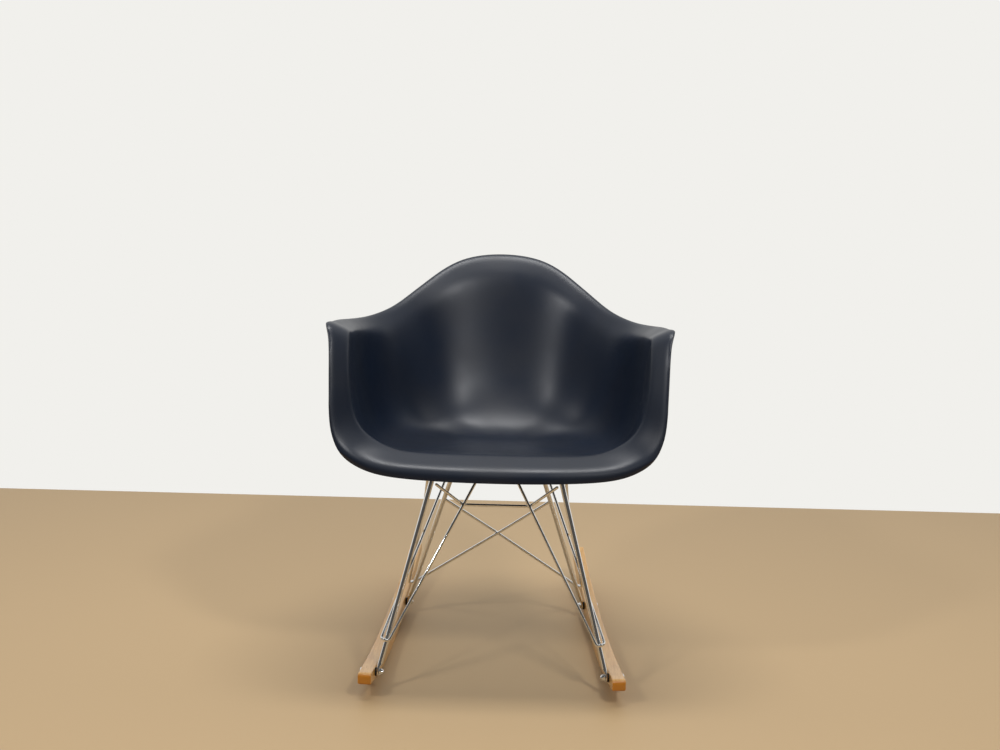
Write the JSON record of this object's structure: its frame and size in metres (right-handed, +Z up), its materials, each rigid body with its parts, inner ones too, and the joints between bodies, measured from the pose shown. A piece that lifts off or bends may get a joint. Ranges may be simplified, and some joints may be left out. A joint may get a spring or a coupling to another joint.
{
  "type": "rocking armchair",
  "caption": "Rocking armchair with a dark navy moulded bucket seat on a chromed rod and wire base with curved maple rockers.",
  "frame": {"origin": "on the floor, under the middle of the overall footprint", "axes": "+Z up, +Y towards the back of the chair, +X towards the right of someone who faces the front of the chair"},
  "size_m": [0.6324, 0.7266, 0.76],
  "materials": {
    "shell_plastic": "dark navy polypropylene with a fine satin grain",
    "maple": "honey maple under clear satin lacquer",
    "chrome": "bright chromium plate",
    "zinc_steel": "zinc-plated steel",
    "black_rubber": "matt black rubber"
  },
  "bodies": {
    "root": {"seat_shell": "shell_plastic", "shock_mount_front_right": "black_rubber", "shock_mount_front_left": "black_rubber", "shock_mount_rear_right": "black_rubber", "shock_mount_rear_left": "black_rubber", "mount_screw_front_right": "zinc_steel", "mount_screw_front_left": "zinc_steel", "mount_screw_rear_right": "zinc_steel", "mount_screw_rear_left": "zinc_steel", "rocker_right": "maple", "rocker_left": "maple", "spacer_front_right": "black_rubber", "spacer_front_left": "black_rubber", "spacer_rear_right": "black_rubber", "spacer_rear_left": "black_rubber", "leg_front_right": "chrome", "leg_front_left": "chrome", "leg_rear_right": "chrome", "leg_rear_left": "chrome", "rocker_bolt_front_right": "chrome", "rocker_bolt_front_left": "chrome", "rocker_bolt_rear_right": "chrome", "rocker_bolt_rear_left": "chrome", "domed_nut_front_right": "chrome", "domed_nut_front_left": "chrome", "domed_nut_rear_right": "chrome", "domed_nut_rear_left": "chrome", "front_truss_wire": "chrome", "front_stretcher_wire": "chrome", "rear_brace_wire_right": "chrome", "rear_brace_wire_left": "chrome"}
  },
  "joints": []
}
